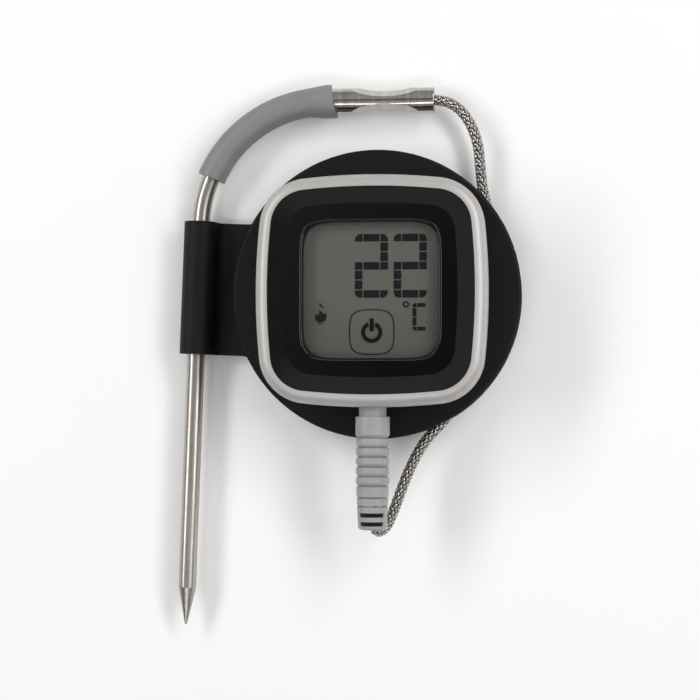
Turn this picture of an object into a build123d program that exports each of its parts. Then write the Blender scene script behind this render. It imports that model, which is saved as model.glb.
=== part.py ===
from build123d import *

import os
from math import cos, degrees, pi, radians, sin, sqrt, tan

# Meat thermometer with a leave-in probe: a square display unit seated in a round silicone wrap,
# whose edge groove stores the braided cable and whose side sleeve holds the bent steel probe.
#
# Millimetres. The thermometer lies on its back: +Z out of the display, +Y towards the probe's
# bend, and the origin at the centre of the wrap's rear face.

os.makedirs("parts", exist_ok=True)

# ---- Driving dimensions ------------------------------------------------------------------

# Cable and its wrap
CABLE_D = 2.5
WRAP_R = 32.8
FLANGE_T = 2.3
TURNS_ABREAST = 2
GROOVE_W = TURNS_ABREAST * CABLE_D + 0.4
WRAP_T = 2 * FLANGE_T + GROOVE_W
OUTER_TURN_R = 30.6
LAYERS = 3
GROOVE_FLOOR_R = OUTER_TURN_R - (LAYERS - 0.5) * CABLE_D - 0.1
SEAT_R = 20.0
SEAT_LIP_R = 17.9
SEAT_LIP_T = 2.0

# Probe
TUBE_R = 2.0
TUBE_WALL = 0.4
PROBE_Z = 4.4
PROBE_TILT = 1.9
BEND_R = 28.9
CONE_LENGTH = 8.6
SHANK_LENGTH = 84.0
TOP_RUN_Y = 44.78
SHANK_X = -41.69
SHANK_X_AT_Y = 1.33
HOLDER_R = 3.85
HOLDER_LENGTH = 30.6
HOLDER_GAP = 0.05
FERRULE_R = 2.9
FERRULE_END_X = 12.95
FERRULE_LENGTH = 25.2
GRIP_R = 3.28
GRIP_FLARE_R = 3.85

# Display unit
UNIT_HALF = 25.65
UNIT_CORNER_R = 11.0
SIDE_BULGE_R = 165.0
HOUSING_SEAM_Z = 16.0
BEZEL_TOP_Z = 23.7
PANEL_HALF = 22.8
PANEL_TOP_Z = 24.0
PANEL_BACK_Z = 21.6
WINDOW_W = 30.0
WINDOW_CORNER_R = 4.5
BOARD_Z = 13.6
BOARD_T = 1.0
SCREW_AT = 17.0

# Plug and its socket
PLUG_Z = 17.0
PLUG_SEAT_Y = -24.2
PIN_R = 1.25
PIN_LENGTH = 11.0
NECK_R = 3.07
COLLAR_R = 3.82
RIB_R = 3.68
RIB_ROOT_R = 3.3
RIB_PITCH = 2.136
RIBS = 5
BOOT_END_Y = -52.7
BOOT_BORE_Y = -46.8
BOOT_END_R = 3.2
COLLAR_Y = -27.7
RIBS_Y = -32.5

# Battery cover
COVER_R = 12.0
COVER_GAP = 0.05
LUG_R = 12.9
LUGS = 3
LUG_W = 6.0
UNLOCK_TURN = 60
CELL_R = 10.0
CELL_T = 3.2
CELL_Z = 5.0


# ---- Shared helpers ----------------------------------------------------------------------


def write(builder, name):
    """Label a finished sub-part and write its STEP file."""
    builder.part.label = name
    export_step(builder.part, f"parts/{name}.step")


def bulged_square(half, corner_r):
    """A square with gently bulged sides, `half` from its centre to the middle of a side."""
    corner = half - half**2 / (2 * SIDE_BULGE_R)
    with BuildSketch() as outline:
        with BuildLine():
            for turn in range(0, 360, 90):
                ends = [Vector(corner, side).rotate(Axis.Z, turn) for side in (-corner, corner)]
                ThreePointArc(ends[0], Vector(half, 0).rotate(Axis.Z, turn), ends[1])
        make_face()
        fillet(outline.vertices(), corner_r)
    return outline.sketch


def inset_square(inset):
    """The display unit's outline, moved inwards by `inset`."""
    return bulged_square(UNIT_HALF - inset, UNIT_CORNER_R - inset)


def four_corners(at):
    """Locations at the four corners of a square, `at` from its centre lines."""
    return GridLocations(2 * at, 2 * at, 2, 2)


def route_radii(points):
    """Each corner's radius on a cable route: 0.45 of the shorter run over tan(half the turn)."""
    radii = []
    for before, here, after in zip(points, points[1:], points[2:]):
        run_in = Vector(here) - Vector(before)
        run_out = Vector(after) - Vector(here)
        half_turn = radians(run_in.get_angle(run_out)) / 2
        radii.append(0.45 * min(run_in.length, run_out.length) / tan(half_turn))
    print("cable radii", [round(radius, 1) for radius in radii])
    return radii


def cable_tube(points, diameter=CABLE_D):
    """A round tube along straight runs that are joined by tangent arcs."""
    with BuildPart() as tube:
        with BuildLine() as route:
            FilletPolyline(*points, radius=route_radii(points))
        path = route.wires()[0]
        with BuildSketch(Plane(origin=path @ 0, z_dir=path % 0)):
            Circle(diameter / 2)
        sweep(path=path)
    expected = path.length * pi * diameter**2 / 4
    print("cable length", round(path.length, 1), "volume", round(tube.part.volume / expected, 4))
    return tube


# ---- Probe geometry ----------------------------------------------------------------------

# The shank leans by PROBE_TILT, and one arc turns it into the level run that the ferrule holds.
lean = radians(PROBE_TILT)
shank_up = Vector(sin(lean), cos(lean), 0)
shank_side = Vector(cos(lean), -sin(lean), 0)
bend_centre_y = TOP_RUN_Y - BEND_R
side_shift = BEND_R + (bend_centre_y - SHANK_X_AT_Y) * sin(lean)
bend_centre = Vector(SHANK_X + side_shift / cos(lean), bend_centre_y, PROBE_Z)
bend_start = bend_centre - shank_side * BEND_R
bend_end = bend_centre + Vector(0, BEND_R, 0)
tip = bend_start - shank_up * (SHANK_LENGTH + CONE_LENGTH)

# Across the shank: local x runs away from the bend's inside, local y up the shank.
shank_plane = Plane(origin=bend_start, x_dir=shank_side, z_dir=(0, 0, 1))
shank_axis = Axis(bend_start, shank_up)
tube_end = Vector(-6.0, TOP_RUN_Y, PROBE_Z)

HOLDER_TOP = 0.3


def on_bend(angle, radius=BEND_R):
    """A point on the bend's arc, by its angle about the bend's centre."""
    return bend_centre + Vector(radius * cos(radians(angle)), radius * sin(radians(angle)), 0)


# ---- Wrap --------------------------------------------------------------------------------

# The holder's section, looked at down the shank: local x across the wing, local y up.
WING_REACH = 15.0
VALLEY_R = 2.5
ROOT_R = 4.0
holder_top = bend_start + shank_up * HOLDER_TOP
holder_plane = Plane(origin=holder_top, x_dir=shank_side, z_dir=-shank_up)
wing_top_y = FLANGE_T - PROBE_Z
# A round valley, tangent to the sleeve and to the wing's front face
valley_y = wing_top_y + VALLEY_R
valley_centre = Vector(sqrt((HOLDER_R + VALLEY_R) ** 2 - valley_y**2), valley_y)
valley_foot = valley_centre - Vector(0, VALLEY_R)
valley_head = valley_centre.normalized() * HOLDER_R
towards_chord = ((valley_foot + valley_head) / 2 - valley_centre).normalized()
valley_middle = valley_centre + towards_chord * VALLEY_R

with BuildPart() as cable_wrap:
    with BuildSketch(holder_plane):
        Circle(HOLDER_R)
        with Locations((WING_REACH / 2, wing_top_y - FLANGE_T / 2)):
            Rectangle(WING_REACH, FLANGE_T)
        with BuildLine():
            ThreePointArc(valley_foot, valley_middle, valley_head)
            Polyline(valley_head, (0, valley_head.Y), (0, wing_top_y), valley_foot)
        make_face()
    extrude(amount=HOLDER_LENGTH)
    with BuildSketch():
        Circle(WRAP_R)
    extrude(amount=FLANGE_T)
    wing_roots = cable_wrap.edges().filter_by(Axis.Z).filter_by_position(Axis.X, -WRAP_R, -SEAT_R)
    fillet(wing_roots, ROOT_R)
    with BuildSketch(Plane.XY.offset(FLANGE_T)):
        Circle(GROOVE_FLOOR_R)
    extrude(amount=GROOVE_W)
    with BuildSketch(Plane.XY.offset(WRAP_T - FLANGE_T)):
        Circle(WRAP_R)
    extrude(amount=FLANGE_T)
    front_rims = cable_wrap.edges().filter_by(GeomType.CIRCLE)
    front_rims = front_rims.filter_by(lambda edge: edge.radius > WRAP_R - 0.01)
    fillet(front_rims.filter_by_position(Axis.Z, WRAP_T - FLANGE_T - 0.01, WRAP_T + 0.01), 0.7)
    with BuildSketch(Plane.XY.offset(SEAT_LIP_T)):
        Circle(SEAT_R)
    extrude(amount=WRAP_T, mode=Mode.SUBTRACT)
    with BuildSketch():
        Circle(SEAT_LIP_R)
    extrude(amount=SEAT_LIP_T, mode=Mode.SUBTRACT)
    with BuildSketch(holder_plane):
        Circle(TUBE_R + HOLDER_GAP)
    extrude(amount=HOLDER_LENGTH, mode=Mode.SUBTRACT)
write(cable_wrap, "cable_wrap")

# The wound cable: three layers of two turns, each layer one diameter further out.
WINDING_INNER_R = OUTER_TURN_R - (LAYERS - 0.5) * CABLE_D
with BuildPart() as cable_winding:
    with BuildSketch(Plane.XY.offset(FLANGE_T + 0.2)):
        Circle(OUTER_TURN_R + CABLE_D / 2)
        Circle(WINDING_INNER_R, mode=Mode.SUBTRACT)
    extrude(amount=GROOVE_W - 0.4)
write(cable_winding, "cable_winding")

# From the ferrule the cable turns down, slips behind the front flange and joins the winding.
LOWER_TURN_Z = FLANGE_T + 0.2 + CABLE_D / 2
UPPER_TURN_Z = LOWER_TURN_Z + CABLE_D
top_route = [
    (FERRULE_END_X, TOP_RUN_Y, PROBE_Z),
    (15.6, TOP_RUN_Y, PROBE_Z),
    (18.6, 43.3, 4.4),
    (20.8, 40.7, 4.3),
    (22.2, 37.5, 4.2),
    (23.0, 33.8, 4.1),
    (23.4, 28.6, 3.9),
    (24.1, 22.2, 3.8),
    (26.3, 15.9, LOWER_TURN_Z),
]
cable_top = cable_tube(top_route)
write(cable_top, "cable_top")

# From the winding's edge the cable rises to the boot and folds up into its end.
bottom_route = [
    (19.6, -23.6, UPPER_TURN_Z),
    (14.9, -29.0, UPPER_TURN_Z),
    (10.9, -33.2, UPPER_TURN_Z),
    (8.3, -37.8, 7.0),
    (6.4, -42.3, 7.9),
    (4.8, -47.0, 9.2),
    (2.5, -53.2, 10.8),
    (0.0, -53.3, PLUG_Z),
    (0.0, BOOT_BORE_Y, PLUG_Z),
]
cable_bottom = cable_tube(bottom_route)
write(cable_bottom, "cable_bottom")

# ---- Probe -------------------------------------------------------------------------------

TIP_R = 0.3
BORE_END = SHANK_LENGTH - 2.0
with BuildPart() as probe_tube:
    with BuildSketch(shank_plane):
        with BuildLine():
            Polyline(
                (TUBE_R - TUBE_WALL, 0),
                (TUBE_R, 0),
                (TUBE_R, -SHANK_LENGTH),
                (TIP_R, -SHANK_LENGTH - CONE_LENGTH + 0.2),
                (0, -SHANK_LENGTH - CONE_LENGTH),
                (0, -BORE_END),
                (TUBE_R - TUBE_WALL, -BORE_END),
                close=True,
            )
        make_face()
    revolve(axis=shank_axis)
    with BuildLine() as bend_path:
        ThreePointArc(bend_start, on_bend(135), bend_end)
        Line(bend_end, tube_end)
    with BuildSketch(Plane(origin=bend_start, z_dir=shank_up)):
        Circle(TUBE_R)
        Circle(TUBE_R - TUBE_WALL, mode=Mode.SUBTRACT)
    sweep(path=bend_path.line)
write(probe_tube, "probe_tube")

# The sensing bead sits at the closed end of the bore.
BEAD_LENGTH = 2.4
with BuildPart() as thermistor_bead:
    with BuildSketch(shank_plane):
        with Locations((0, -BORE_END + BEAD_LENGTH / 2)):
            Ellipse(1.1, BEAD_LENGTH / 2)
        with Locations((-5, -BORE_END)):
            Rectangle(10, 10, mode=Mode.SUBTRACT)
    revolve(axis=shank_axis)
write(thermistor_bead, "thermistor_bead")

# Two enamelled wires run from the bead through the tube and the ferrule to the cable.
WIRE_R = 0.3
WIRE_OFFSET = 0.6
with BuildPart() as probe_wires:
    for side in (-WIRE_OFFSET, WIRE_OFFSET):
        wire_top = bend_start + shank_side * side
        wire_foot = wire_top - shank_up * (BORE_END - BEAD_LENGTH - 0.4)
        with BuildLine() as wire_path:
            Line(wire_foot, wire_top)
            ThreePointArc(
                wire_top, on_bend(135, BEND_R - side), bend_end - Vector(0, side, 0)
            )
            Line(bend_end - Vector(0, side, 0), Vector(4.5, TOP_RUN_Y - side, PROBE_Z))
        with BuildSketch(Plane(origin=wire_foot, z_dir=shank_up)):
            Circle(WIRE_R)
        sweep(path=wire_path.line)
write(probe_wires, "probe_wires")

# A steel ferrule joins the tube to the cable. Four round dies, from the front and from the
# rear of its upper and its lower side, crimp it at its middle.
CRIMP_DEPTH = 0.98
CRIMP_DIE_R = 30.0
CRIMP_ANGLES = (60, 120, 250, 290)
ferrule_start_x = FERRULE_END_X - FERRULE_LENGTH
crimp_centre = Vector(1.6, TOP_RUN_Y, PROBE_Z)
level = Plane(origin=(ferrule_start_x, TOP_RUN_Y, PROBE_Z), z_dir=(1, 0, 0))
with BuildPart() as crimp_ferrule:
    with BuildSketch(level):
        Circle(FERRULE_R)
    extrude(amount=FERRULE_LENGTH)
    fillet(crimp_ferrule.edges().filter_by(GeomType.CIRCLE), 0.25)
    for angle in CRIMP_ANGLES:
        outward = Vector(0, sin(radians(angle)), cos(radians(angle)))
        die_centre = crimp_centre + outward * (FERRULE_R - CRIMP_DEPTH + CRIMP_DIE_R)
        die_axis = outward.cross(Vector(1, 0, 0))
        with BuildSketch(Plane(origin=die_centre, x_dir=(1, 0, 0), z_dir=die_axis)):
            Circle(CRIMP_DIE_R)
        extrude(amount=2 * FERRULE_R, both=True, mode=Mode.SUBTRACT)
    with BuildSketch(level):
        Circle(TUBE_R)
    extrude(amount=tube_end.X - ferrule_start_x, mode=Mode.SUBTRACT)
    with BuildSketch(level):
        Circle(CABLE_D / 2)
    extrude(amount=FERRULE_LENGTH, mode=Mode.SUBTRACT)
write(crimp_ferrule, "crimp_ferrule")

# The cable's end inside the ferrule, stripped where the probe's wires are joined to it.
with BuildPart() as cable_probe_end:
    with BuildSketch(Plane(origin=(5.0, TOP_RUN_Y, PROBE_Z), z_dir=(1, 0, 0))):
        Circle(CABLE_D / 2)
    extrude(amount=FERRULE_END_X - 5.0)
write(cable_probe_end, "cable_probe_end")

# A silicone sleeve covers the bend, and stretches over the ferrule's end.
GRIP_START_ANGLE = 156.6
GRIP_END_X = -10.2
GRIP_CUT_TILT = 10
FLARE_LENGTH = 4.2
grip_start = on_bend(GRIP_START_ANGLE)
flare_tilt = degrees(FLARE_LENGTH / BEND_R)
flare_start = on_bend(90 + flare_tilt)
flare_plane = Plane(
    origin=flare_start, z_dir=(cos(radians(flare_tilt)), sin(radians(flare_tilt)), 0)
)
grip_start_plane = Plane(
    origin=grip_start,
    z_dir=(sin(radians(GRIP_START_ANGLE)), -cos(radians(GRIP_START_ANGLE)), 0),
)
with BuildPart() as grip_sleeve:
    with BuildLine() as grip_path:
        middle_angle = (GRIP_START_ANGLE + 90 + flare_tilt) / 2
        ThreePointArc(grip_start, on_bend(middle_angle), flare_start)
    with BuildSketch(grip_start_plane):
        Circle(GRIP_R)
    sweep(path=grip_path.line)
    with BuildSketch(flare_plane):
        Circle(GRIP_R)
    with BuildSketch(Plane(origin=bend_end + Vector(0.2, 0, 0), z_dir=(1, 0, 0))):
        Circle(GRIP_FLARE_R)
    loft()
    with BuildSketch(Plane(origin=bend_end + Vector(0.2, 0, 0), z_dir=(1, 0, 0))):
        Circle(GRIP_FLARE_R)
    extrude(amount=4)
    cut_normal = (cos(radians(GRIP_CUT_TILT)), sin(radians(GRIP_CUT_TILT)), 0)
    split(
        bisect_by=Plane(origin=(GRIP_END_X, TOP_RUN_Y, PROBE_Z), z_dir=cut_normal),
        keep=Keep.BOTTOM,
    )
    add(probe_tube.part, mode=Mode.SUBTRACT)
    with BuildLine() as hollow_path:
        ThreePointArc(bend_start, on_bend(135), bend_end)
        Line(bend_end, tube_end)
    with BuildSketch(Plane(origin=bend_start, z_dir=shank_up)):
        Circle(TUBE_R - 0.1)
    sweep(path=hollow_path.line, mode=Mode.SUBTRACT)
    with BuildSketch(level):
        Circle(FERRULE_R)
    extrude(amount=6, mode=Mode.SUBTRACT)
write(grip_sleeve, "grip_sleeve")

# ---- Display unit: casing ----------------------------------------------------------------

BEZEL_ROUND = 2.6
BEZEL_WALL = 2.25
CARRIER_TOP_Z = PANEL_BACK_Z - 0.1
GASKET_W = 0.9
NOTCH_R = 3.35
NOSE_R = 2.6
SCREW_R = 0.95
GASKET_OUTER_INSET = 1.0

plug_plane = Plane(origin=(0, PLUG_SEAT_Y, PLUG_Z), z_dir=(0, -1, 0))

with BuildPart() as bezel_ring:
    with BuildSketch(Plane.XY.offset(HOUSING_SEAM_Z)):
        add(inset_square(0))
    extrude(amount=BEZEL_TOP_Z - HOUSING_SEAM_Z)
    fillet(bezel_ring.faces().sort_by(Axis.Z)[-1].edges(), BEZEL_ROUND)
    fillet(bezel_ring.faces().sort_by(Axis.Z)[0].edges(), 0.5)
    with BuildSketch(Plane.XY.offset(HOUSING_SEAM_Z)):
        add(inset_square(BEZEL_WALL))
    extrude(amount=CARRIER_TOP_Z - HOUSING_SEAM_Z, mode=Mode.SUBTRACT)
    with BuildSketch(Plane.XY.offset(CARRIER_TOP_Z)):
        add(bulged_square(PANEL_HALF + 0.05, UNIT_CORNER_R - 3.0))
    extrude(amount=BEZEL_TOP_Z, mode=Mode.SUBTRACT)
    with BuildSketch(Plane.XY.offset(HOUSING_SEAM_Z)):
        add(inset_square(GASKET_OUTER_INSET))
        add(inset_square(GASKET_OUTER_INSET + GASKET_W), mode=Mode.SUBTRACT)
    extrude(amount=0.8, mode=Mode.SUBTRACT)
    with BuildSketch(plug_plane):
        Circle(NOTCH_R)
    extrude(amount=4, mode=Mode.SUBTRACT)
    with BuildSketch(plug_plane):
        Circle(NOSE_R)
    extrude(amount=-3, mode=Mode.SUBTRACT)
write(bezel_ring, "bezel_ring")

with BuildPart() as housing_gasket:
    with BuildSketch(Plane.XY.offset(HOUSING_SEAM_Z)):
        add(inset_square(GASKET_OUTER_INSET))
        add(inset_square(GASKET_OUTER_INSET + GASKET_W), mode=Mode.SUBTRACT)
    extrude(amount=0.8)
    with BuildSketch(plug_plane):
        Circle(NOTCH_R)
    extrude(amount=4, mode=Mode.SUBTRACT)
    with BuildSketch(plug_plane):
        Circle(NOSE_R)
    extrude(amount=-3, mode=Mode.SUBTRACT)
write(housing_gasket, "housing_gasket")

HOUSING_FLOOR_T = 1.5
BOSS_R = SEAT_R - 0.05
BOSS_WALL = 1.5
BOSS_FLOOR_T = 1.6
COLLAR_WALL_R = 13.9
CHANNEL_Z = 3.7
CHANNEL_R = LUG_R + 0.2
CHANNEL_H = 1.0
COLLAR_TOP_Z = 5.4
POST_R = 2.2
SCREW_HEAD_R = 1.8
SCREW_HEAD_T = 1.2
BOSS_FOOT_Z = SEAT_LIP_T

with BuildPart() as rear_housing:
    with BuildSketch(Plane.XY.offset(WRAP_T)):
        add(inset_square(1.4))
    with BuildSketch(Plane.XY.offset(HOUSING_SEAM_Z)):
        add(inset_square(0.45))
    loft()
    with BuildSketch(Plane.XY.offset(BOSS_FOOT_Z)):
        Circle(BOSS_R)
    extrude(amount=WRAP_T - BOSS_FOOT_Z + 1)
    with BuildSketch(Plane.XY.offset(WRAP_T + HOUSING_FLOOR_T)):
        add(inset_square(BEZEL_WALL + 0.4))
    extrude(amount=HOUSING_SEAM_Z, mode=Mode.SUBTRACT)
    with BuildSketch(Plane.XY.offset(BOSS_FOOT_Z + BOSS_FLOOR_T)):
        Circle(BOSS_R - BOSS_WALL)
    extrude(amount=WRAP_T, mode=Mode.SUBTRACT)
    with BuildSketch(Plane.XY.offset(BOSS_FOOT_Z)):
        Circle(COLLAR_WALL_R)
    extrude(amount=COLLAR_TOP_Z - BOSS_FOOT_Z)
    with BuildSketch(Plane.XY.offset(BOSS_FOOT_Z)):
        Circle(COVER_R + COVER_GAP)
        with PolarLocations((COVER_R + LUG_R) / 2, LUGS, start_angle=UNLOCK_TURN):
            Rectangle(LUG_R - COVER_R + 1.4, LUG_W + 0.8)
    extrude(amount=COLLAR_TOP_Z, mode=Mode.SUBTRACT)
    with BuildSketch(Plane.XY.offset(CHANNEL_Z)):
        Circle(CHANNEL_R)
    extrude(amount=CHANNEL_H, mode=Mode.SUBTRACT)
    with BuildSketch(Plane.XY.offset(WRAP_T + HOUSING_FLOOR_T)):
        with four_corners(SCREW_AT):
            Circle(POST_R)
    extrude(amount=BOARD_Z - WRAP_T - HOUSING_FLOOR_T)
    with BuildSketch(Plane.XY.offset(WRAP_T)):
        with four_corners(SCREW_AT):
            Circle(SCREW_R)
    extrude(amount=BOARD_Z - WRAP_T, mode=Mode.SUBTRACT)
    with BuildSketch(Plane.XY.offset(WRAP_T)):
        with four_corners(SCREW_AT):
            Circle(SCREW_HEAD_R)
    extrude(amount=SCREW_HEAD_T, mode=Mode.SUBTRACT)
    with BuildSketch(plug_plane):
        Circle(NOTCH_R)
    extrude(amount=4, mode=Mode.SUBTRACT)
    with BuildSketch(plug_plane):
        Circle(NOSE_R)
    extrude(amount=-3, mode=Mode.SUBTRACT)
write(rear_housing, "rear_housing")

SCREW_END_Z = 19.0
with BuildPart() as housing_screws:
    with BuildSketch(Plane.XY.offset(WRAP_T + 0.05)):
        with four_corners(SCREW_AT):
            Circle(SCREW_HEAD_R)
    extrude(amount=SCREW_HEAD_T - 0.05)
    with BuildSketch(Plane.XY.offset(WRAP_T + SCREW_HEAD_T)):
        with four_corners(SCREW_AT):
            Circle(SCREW_R)
    extrude(amount=SCREW_END_Z - WRAP_T - SCREW_HEAD_T)
    with BuildSketch(Plane.XY.offset(WRAP_T + 0.05)):
        with four_corners(SCREW_AT):
            Rectangle(2.2, 0.5)
            Rectangle(0.5, 2.2)
    extrude(amount=0.6, mode=Mode.SUBTRACT)
write(housing_screws, "housing_screws")

# ---- Display unit: panel and display -----------------------------------------------------

BAND_W = 3.7
BAND_DROP = 0.7
WINDOW_GAP = 0.05
WINDOW_TOP_Z = PANEL_TOP_Z - 0.15

with BuildPart() as front_panel:
    with BuildSketch(Plane.XY.offset(PANEL_BACK_Z)):
        add(bulged_square(PANEL_HALF, UNIT_CORNER_R - 3.05))
    extrude(amount=PANEL_TOP_Z - BAND_DROP - PANEL_BACK_Z)
    with BuildSketch(Plane.XY.offset(PANEL_TOP_Z - BAND_DROP)):
        add(bulged_square(PANEL_HALF, UNIT_CORNER_R - 3.05))
    with BuildSketch(Plane.XY.offset(PANEL_TOP_Z)):
        add(bulged_square(PANEL_HALF - BAND_W, UNIT_CORNER_R - 3.05 - 2.0))
    loft()
    with BuildSketch(Plane.XY.offset(PANEL_BACK_Z)):
        RectangleRounded(WINDOW_W, WINDOW_W, WINDOW_CORNER_R)
    extrude(amount=PANEL_TOP_Z, mode=Mode.SUBTRACT)
write(front_panel, "front_panel")

window_size = WINDOW_W - 2 * WINDOW_GAP
with BuildPart() as display_window:
    with BuildSketch(Plane.XY.offset(PANEL_BACK_Z + 0.6)):
        RectangleRounded(window_size, window_size, WINDOW_CORNER_R - WINDOW_GAP)
    extrude(amount=WINDOW_TOP_Z - PANEL_BACK_Z - 0.6)
write(display_window, "display_window")

# Clear film with the electrode of the touch key, between the window and the display glass.
with BuildPart() as touch_film:
    with BuildSketch(Plane.XY.offset(PANEL_BACK_Z - 0.1)):
        RectangleRounded(33.0, 33.0, 1.0)
    extrude(amount=0.1)
write(touch_film, "touch_film")

GLASS_W = 34.0
GLASS_T = 1.2
glass_back_z = CARRIER_TOP_Z - GLASS_T
with BuildPart() as lcd_glass:
    with BuildSketch(Plane.XY.offset(glass_back_z)):
        Rectangle(GLASS_W, GLASS_W)
    extrude(amount=GLASS_T)
write(lcd_glass, "lcd_glass")

REFLECTOR_W = 31.0
REFLECTOR_T = 0.7
with BuildPart() as lcd_reflector:
    with BuildSketch(Plane.XY.offset(glass_back_z - REFLECTOR_T)):
        Rectangle(REFLECTOR_W, REFLECTOR_W)
    extrude(amount=REFLECTOR_T)
write(lcd_reflector, "lcd_reflector")

CONNECTOR_Y = 16.5
CONNECTOR_W = 1.4
carrier_back_z = glass_back_z - REFLECTOR_T
with BuildPart() as display_carrier:
    with BuildSketch(Plane.XY.offset(carrier_back_z)):
        add(inset_square(BEZEL_WALL + 0.1))
        Rectangle(REFLECTOR_W + 0.2, REFLECTOR_W + 0.2, mode=Mode.SUBTRACT)
        with Locations((0, CONNECTOR_Y)):
            Rectangle(28.4, CONNECTOR_W + 0.4, mode=Mode.SUBTRACT)
    extrude(amount=CARRIER_TOP_Z - carrier_back_z)
    with BuildSketch(Plane.XY.offset(glass_back_z)):
        Rectangle(GLASS_W + 0.2, GLASS_W + 0.2)
    extrude(amount=GLASS_T, mode=Mode.SUBTRACT)
    with BuildSketch(Plane.XY.offset(BOARD_Z + BOARD_T)):
        with four_corners(SCREW_AT):
            Circle(POST_R)
    extrude(amount=carrier_back_z - BOARD_Z - BOARD_T)
    with BuildSketch(Plane.XY.offset(BOARD_Z + BOARD_T)):
        with four_corners(SCREW_AT):
            Circle(SCREW_R)
    extrude(amount=SCREW_END_Z - BOARD_Z - BOARD_T, mode=Mode.SUBTRACT)
write(display_carrier, "display_carrier")

with BuildPart() as display_connector:
    with BuildSketch(Plane.XY.offset(BOARD_Z + BOARD_T)):
        with Locations((0, CONNECTOR_Y)):
            Rectangle(28.0, CONNECTOR_W)
    extrude(amount=glass_back_z - BOARD_Z - BOARD_T)
write(display_connector, "display_connector")

# ---- Display unit: electronics -----------------------------------------------------------

BOARD_HALF = 21.6
with BuildPart() as circuit_board:
    with BuildSketch(Plane.XY.offset(BOARD_Z)):
        add(bulged_square(BOARD_HALF, 7.0))
        with four_corners(SCREW_AT):
            Circle(SCREW_R, mode=Mode.SUBTRACT)
    extrude(amount=BOARD_T)
write(circuit_board, "circuit_board")

board_top = Plane.XY.offset(BOARD_Z + BOARD_T)
with BuildPart() as control_chip:
    with BuildSketch(board_top):
        with Locations((8, 5)):
            Rectangle(7, 7)
    extrude(amount=1.2)
    with BuildSketch(board_top):
        with Locations((8, 5)):
            with GridLocations(8, 0.8, 2, 8):
                Rectangle(1.4, 0.35)
            with GridLocations(0.8, 8, 8, 2):
                Rectangle(0.35, 1.4)
    extrude(amount=0.25)
write(control_chip, "control_chip")

with BuildPart() as board_components:
    with BuildSketch(board_top):
        with Locations((-8, -2)):
            with GridLocations(3.2, 2.4, 3, 4):
                Rectangle(1.6, 0.8)
    extrude(amount=0.6)
    with BuildSketch(board_top):
        with Locations((-9, 9)):
            RectangleRounded(7.0, 3.2, 1.2)
    extrude(amount=1.4)
write(board_components, "board_components")

BUZZER_R = 5.5
BUZZER_T = 2.4
with BuildPart() as buzzer:
    with BuildSketch(Plane.XY.offset(BOARD_Z - BUZZER_T)):
        with Locations((0, 9)):
            Circle(BUZZER_R)
            Circle(0.7, mode=Mode.SUBTRACT)
    extrude(amount=BUZZER_T)
write(buzzer, "buzzer")

with BuildPart() as coin_cell:
    with BuildSketch(Plane.XY.offset(CELL_Z)):
        Circle(CELL_R)
    extrude(amount=CELL_T - 0.5)
    fillet(coin_cell.faces().sort_by(Axis.Z)[0].edges(), 0.3)
    with BuildSketch(Plane.XY.offset(CELL_Z + CELL_T - 0.5)):
        Circle(CELL_R - 1.2)
    extrude(amount=0.5)
write(coin_cell, "coin_cell")

HOLDER_RING_R = CELL_R + 0.15
CONTACT_T = 0.3
CONTACT_W = 4.0
cell_top_z = CELL_Z + CELL_T
with BuildPart() as cell_holder:
    with BuildSketch(Plane.XY.offset(COLLAR_TOP_Z)):
        Circle(COLLAR_WALL_R)
        Circle(HOLDER_RING_R, mode=Mode.SUBTRACT)
        with Locations((0, -HOLDER_RING_R)):
            Rectangle(CONTACT_W + 0.3, 1.2, mode=Mode.SUBTRACT)
    extrude(amount=cell_top_z - COLLAR_TOP_Z)
write(cell_holder, "cell_holder")

# A bridge over the cell's small face, with a leg at each end up to the board.
BRIDGE_HALF = 12.6
with BuildPart() as cell_contact_top:
    with BuildSketch(Plane.XY.offset(cell_top_z)):
        Rectangle(2 * BRIDGE_HALF, CONTACT_W)
    extrude(amount=CONTACT_T)
    with BuildSketch(Plane.XY.offset(cell_top_z + CONTACT_T)):
        with GridLocations(2 * BRIDGE_HALF - CONTACT_T, 0, 2, 1):
            Rectangle(CONTACT_T, CONTACT_W)
    extrude(amount=BOARD_Z - cell_top_z - CONTACT_T)
write(cell_contact_top, "cell_contact_top")

# A spring leaf that bears on the cell's rim.
with BuildPart() as cell_contact_side:
    with BuildSketch(Plane.XY.offset(COLLAR_TOP_Z)):
        with Locations((0, -CELL_R - CONTACT_T / 2)):
            Rectangle(CONTACT_W, CONTACT_T)
    extrude(amount=BOARD_Z - COLLAR_TOP_Z)
write(cell_contact_side, "cell_contact_side")

MAGNET_R = 2.0
MAGNET_AT = 16.1
with BuildPart() as magnets:
    with BuildSketch(Plane.XY.offset(BOSS_FOOT_Z + BOSS_FLOOR_T)):
        with PolarLocations(MAGNET_AT, 6):
            Circle(MAGNET_R)
    extrude(amount=2.0)
write(magnets, "magnets")

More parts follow.
